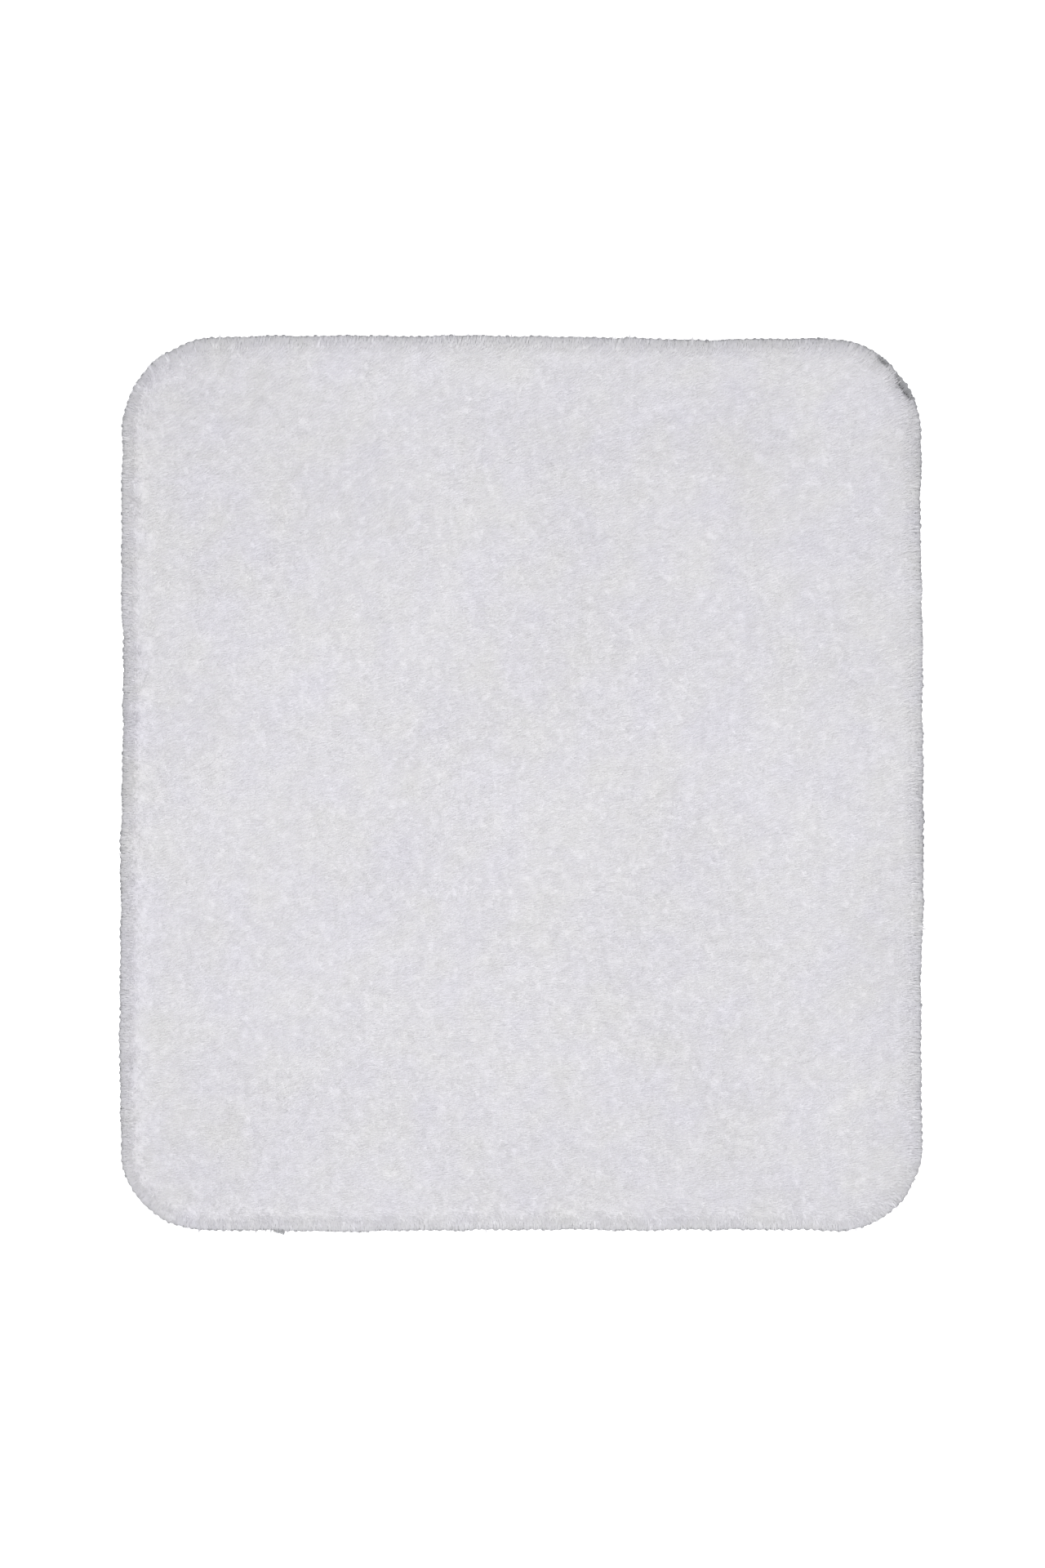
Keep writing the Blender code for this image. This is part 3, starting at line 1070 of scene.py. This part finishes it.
def clothMaterial(name, colour, threads, depth, roughness, sheen):
    made, tree, shader = newMaterial(name, {"Roughness": roughness, "Sheen Weight": sheen})
    place = addNode(tree, "ShaderNodeTexCoord").outputs["Object"]
    feeds = {"Vector": place, "Threads": threads}
    height = output(addNode(tree, "ShaderNodeGroup", feeds, node_tree=plainWeave))
    # painted shade: the colour darkens where the weave dips, in the hollows between threads
    weaveHollowShade = plus(tree, 0.86, times(tree, height, 0.14))
    tree.links.new(vectors(tree, "SCALE", colour, weaveHollowShade), shader.inputs["Base Color"])
    addBump(tree, shader, 0.6, depth, height)
    return made


def rubberMaterial(name, colour, roughness, pores):
    made, tree, shader = newMaterial(name, {"Roughness": roughness, "Base Color": colour})
    place = addNode(tree, "ShaderNodeTexCoord").outputs["Object"]
    addBump(tree, shader, pores, 0.0003, noiseAt(tree, place, 420.0, 3.0))
    return made


def makeDotTree():
    inputs = (("Geometry", "Geometry"), ("Dot", "Object"), ("Smallest", "Float"), ("Rubber", "Material"))
    tree, given, result = newTree("gripDots", "GeometryNodeTree", inputs, (("Geometry", "Geometry"),))
    shape = output(addNode(tree, "GeometryNodeObjectInfo", {"Object": given["Dot"]}), "Geometry")
    wide = randomValue(tree, given["Smallest"], 1.0, 4)
    turn = joined(tree, Z=randomValue(tree, 0.0, 6.28, 5))
    size = joined(tree, X=wide, Y=wide, Z=1.0)
    feeds = {"Points": given["Geometry"], "Instance": shape, "Rotation": turn, "Scale": size}
    dots = output(addNode(tree, "GeometryNodeInstanceOnPoints", feeds))
    dots = output(addNode(tree, "GeometryNodeRealizeInstances", {"Geometry": dots}))
    finished = addNode(tree, "GeometryNodeSetMaterial", {"Geometry": dots, "Material": given["Rubber"]})
    tree.links.new(output(finished), result["Geometry"])
    return tree


def dotShape(depth):
    # a shallow dome hanging from the film, flattened where it meets the floor
    vertices, faces = [], []
    for ring in range(dot["rings"] + 1):
        share = ring / dot["rings"]
        radius = dot["radius"] * (1 - dot["narrowing"] * share ** 2.2)
        for k in range(dot["around"]):
            angle = 2 * math.pi * k / dot["around"]
            vertices.append((radius * math.cos(angle), radius * math.sin(angle), -depth * share ** 0.8))
    for ring in range(dot["rings"]):
        for k in range(dot["around"]):
            a, b = ring * dot["around"] + k, ring * dot["around"] + (k + 1) % dot["around"]
            faces.append((b, a, a + dot["around"], b + dot["around"]))
    last = dot["rings"] * dot["around"]
    faces.append(tuple(range(dot["around"])))
    faces.append(tuple(last + k for k in reversed(range(dot["around"]))))
    return meshObject("dotShape", vertices, faces, smooth=True)


def dotPlaces(height):
    rows = np.arange(-0.28, 0.28, dot["pitch"] * math.sqrt(3) / 2)
    steps = np.arange(-0.25, 0.2501, dot["pitch"])
    x, y = np.meshgrid(steps, rows)
    x = (x + (np.arange(len(rows)) % 2)[:, None] * dot["pitch"] / 2).ravel()
    y = y.ravel()
    margin = dot["labelMargin"]
    overLabel = (np.abs(x) < labelHigh.x + margin) & (y > labelLow.y - margin)
    held = (insetAt(x, y)[0] > dot["inset"]) & ~overLabel
    return np.column_stack((x[held], y[held], np.full(held.sum(), height)))


def ribbonPath():
    # in from the seam on top, round the fold, and back out below
    thin = label["thickness"] / 2
    top, low = labelHigh.z - thin, labelLow.z + thin
    fold = (top - low) / 2
    turnAt = labelLow.y + fold + thin
    steps = label["along"]
    path = [(labelHigh.y + (turnAt - labelHigh.y) * k / steps, top) for k in range(steps)]
    for k in range(label["foldSteps"] + 1):
        angle = math.pi / 2 + math.pi * k / label["foldSteps"]
        path.append((turnAt + fold * math.cos(angle), low + fold + fold * math.sin(angle)))
    path += [(y, 2 * (low + fold) - z) for y, z in reversed(path[:steps])]
    return np.array(path)


def makeLabel():
    path = ribbonPath()
    along = np.gradient(path, axis=0)
    along /= np.linalg.norm(along, axis=1)[:, None]
    side = np.column_stack((-along[:, 1], along[:, 0])) * label["thickness"] / 2
    outline = np.vstack((path + side, (path - side)[::-1]))
    xs = np.linspace(labelLow.x, labelHigh.x, label["across"] + 1)
    count = len(outline)
    vertices = [(x, y, z) for x in xs for y, z in outline]
    faces = []
    for column in range(label["across"]):
        here, beyond = column * count, (column + 1) * count
        for k in range(count):
            n = (k + 1) % count
            faces.append((here + k, here + n, beyond + n, beyond + k))
    steps = len(path)
    for column, turned in ((0, False), (label["across"], True)):
        for k in range(steps - 1):
            here = column * count
            quad = (here + k, here + count - 1 - k, here + count - 2 - k, here + k + 1)
            faces.append(quad[::-1] if turned else quad)
    return vertices, faces


def makeLayers():
    wovenScrim = clothMaterial("wovenScrim", (0.86, 0.85, 0.82), 900.0, 0.0002, 0.8, 0.1)
    lockLatex = rubberMaterial("lockLatex", (0.80, 0.78, 0.72, 1), 0.6, 0.5)
    gripRubber = rubberMaterial("gripRubber", (0.83, 0.83, 0.82, 1), 0.45, 0.25)
    labelRibbon = clothMaterial("labelRibbon", (0.90, 0.90, 0.90), 2600.0, 0.00005, 0.5, 0.3)
    scrim = meshObject("scrim", *slab(scrimLow.z, scrimHigh.z), wovenScrim)
    keep(scrim, "woven_scrim", "primary_backing")
    coat = meshObject("lockCoat", *slab(lockLow.z, lockHigh.z, film["ripple"]), lockLatex, True)
    keep(coat, "lock_latex", "tuft_lock_coat")
    ring, _ = rimAt(np.linspace(0, rimLength, 2000, endpoint=False), layerInset)
    filmFoot = gripHigh.z - (scrimHigh.z - scrimLow.z)
    gripFilm = meshObject("gripFilm", *slab(filmFoot, gripHigh.z, film["ripple"]), gripRubber, True)
    keep(gripFilm, "grip_rubber", "antislip_backing")
    rooted = filmFoot + dot["sunk"]
    sample = dotShape(rooted - gripLow.z)
    places = meshObject("dotPlaces", dotPlaces(rooted), [])
    values = {"Dot": sample, "Smallest": dot["smallest"], "Rubber": gripRubber}
    dots = keep(grow("gripDots", places, makeDotTree(), values), "grip_rubber", "antislip_backing")
    bpy.data.objects.remove(sample)
    ribbon = turnOutward(meshObject("careLabel", *makeLabel(), labelRibbon))
    keep(ribbon, "label_ribbon", "care_label")
    print("layers laid:", len(dots.data.polygons), "faces of grip dots")


makeLayers()


tent = {"overhead": 0.74, "front": 0.62, "back": 0.37, "sides": 0.165}
softboxLamp = {"size": 0.7, "energy": 4.4, "place": (0.0, -0.05, 1.0)}
ground = {"half": 3, "height": -0.0002, "glow": 1.2}


def makeStage():
    # the ground shows pure white, and gives back less light than it shows
    half, height = ground["half"], ground["height"]
    corners = [(x * half, y * half, height) for x, y in ((-1, -1), (1, -1), (1, 1), (-1, 1))]
    floor = meshObject("floor", corners, [(0, 1, 2, 3)])
    values = {"Roughness": 0.9, "Base Color": (0.35, 0.35, 0.36, 1), "Emission Color": (1, 1, 1, 1)}
    white, tree, shader = newMaterial("floorWhite", values)
    seen = addNode(tree, "ShaderNodeLightPath").outputs["Is Camera Ray"]
    tree.links.new(times(tree, seen, ground["glow"]), shader.inputs["Emission Strength"])
    floor.data.materials.append(white)
    # a light tent: brightest overhead, then from the front and back, and dimmest at the sides
    world = bpy.data.worlds.new("studio")
    world.use_nodes = True
    tree = world.node_tree
    around = addNode(tree, "ShaderNodeTexCoord").outputs["Generated"]
    way = addNode(tree, "ShaderNodeSeparateXYZ", {0: around})
    toFront = times(tree, way.outputs["Y"], -1.0)
    overhead = times(tree, maths(tree, "MAXIMUM", way.outputs["Z"], 0.0), tent["overhead"])
    front = times(tree, maths(tree, "MAXIMUM", toFront, 0.0), tent["front"])
    back = times(tree, maths(tree, "MAXIMUM", way.outputs["Y"], 0.0), tent["back"])
    level = plus(tree, plus(tree, overhead, front), plus(tree, back, tent["sides"]))
    tree.links.new(level, tree.nodes["Background"].inputs["Strength"])
    tree.nodes["Background"].inputs["Color"].default_value = (0.97, 0.98, 1, 1)
    bpy.context.scene.world = world
    lamp = bpy.data.lights.new("softbox", "AREA")
    lamp.size = softboxLamp["size"]
    lamp.energy = softboxLamp["energy"]
    softbox = addToScene("softbox", lamp)
    softbox.location = softboxLamp["place"]
    softbox.rotation_euler = (Vector((0, 0, 0)) - softbox.location).to_track_quat("-Z", "Y").to_euler()
    softbox.visible_camera = False


camera = {"lens": 85, "height": 2.3180, "x": 0.0006, "y": 0.0000}


def makeCamera():
    data = bpy.data.cameras.new("camera")
    data.lens = camera["lens"]
    obj = addToScene("camera", data)
    obj.location = (camera["x"], camera["y"], camera["height"])
    bpy.context.scene.camera = obj
    bpy.context.scene.view_settings.view_transform = "Standard"


makeStage()
makeCamera()
